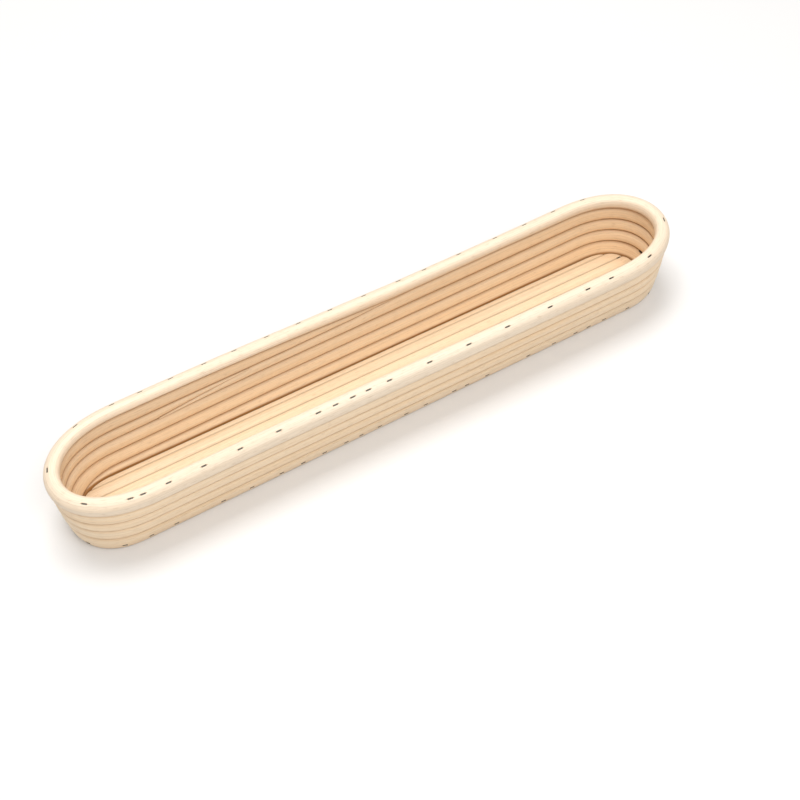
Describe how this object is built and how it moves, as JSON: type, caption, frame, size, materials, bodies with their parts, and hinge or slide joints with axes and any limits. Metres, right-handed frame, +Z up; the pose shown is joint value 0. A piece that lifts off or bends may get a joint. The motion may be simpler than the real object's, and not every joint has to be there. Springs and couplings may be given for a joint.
{
  "type": "banneton basket",
  "caption": "Long oval banneton proofing basket: coiled rattan cane wall, straight cane floor strips, thicker cane rim hoop, nailed together with small steel brads.",
  "frame": {"origin": "on the resting plane, under the middle of the basket", "axes": "+X along the basket's length, +Y towards the side on which the wall coil starts and ends, +Z up"},
  "size_m": [0.4522, 0.0804, 0.0539],
  "materials": {
    "wall_cane": "raw peeled rattan cane, fine lengthwise fibres, satin to matt",
    "rim_cane": "raw peeled rattan cane, sanded smooth, pale cream",
    "floor_cane": "raw rattan cane strips, satin to matt",
    "brad_steel": "dull dark steel brads sunk just under the cane's surface"
  },
  "bodies": {
    "root": {"wall_coil_lower": "wall_cane", "wall_coil_upper": "wall_cane", "rim_hoop": "rim_cane", "floor_strip_1": "floor_cane", "floor_strip_2": "floor_cane", "floor_strip_3": "floor_cane", "floor_strip_4": "floor_cane", "floor_strip_5": "floor_cane", "floor_strip_6": "floor_cane", "floor_strip_7": "floor_cane", "rim_brad_01": "brad_steel", "rim_brad_02": "brad_steel", "rim_brad_03": "brad_steel", "rim_brad_04": "brad_steel", "rim_brad_05": "brad_steel", "rim_brad_06": "brad_steel", "rim_brad_07": "brad_steel", "rim_brad_08": "brad_steel", "rim_brad_09": "brad_steel", "rim_brad_10": "brad_steel", "rim_brad_11": "brad_steel", "rim_brad_12": "brad_steel", "rim_brad_13": "brad_steel", "rim_brad_14": "brad_steel", "rim_brad_15": "brad_steel", "rim_brad_16": "brad_steel", "rim_brad_17": "brad_steel", "rim_brad_18": "brad_steel", "rim_brad_19": "brad_steel", "rim_brad_20": "brad_steel", "rim_brad_21": "brad_steel", "rim_brad_22": "brad_steel", "rim_brad_23": "brad_steel", "rim_brad_24": "brad_steel", "rim_brad_25": "brad_steel", "rim_brad_26": "brad_steel", "rim_brad_27": "brad_steel", "rim_brad_28": "brad_steel", "rim_brad_29": "brad_steel", "rim_brad_30": "brad_steel", "rim_brad_31": "brad_steel", "rim_brad_32": "brad_steel", "rim_brad_33": "brad_steel", "rim_brad_34": "brad_steel", "rim_brad_35": "brad_steel", "rim_brad_36": "brad_steel", "rim_brad_37": "brad_steel", "rim_brad_38": "brad_steel", "foot_brad_01": "brad_steel", "foot_brad_02": "brad_steel", "foot_brad_03": "brad_steel", "foot_brad_04": "brad_steel", "foot_brad_05": "brad_steel", "foot_brad_06": "brad_steel", "foot_brad_07": "brad_steel", "foot_brad_08": "brad_steel", "foot_brad_09": "brad_steel", "foot_brad_10": "brad_steel", "foot_brad_11": "brad_steel", "foot_brad_12": "brad_steel"}
  },
  "joints": []
}
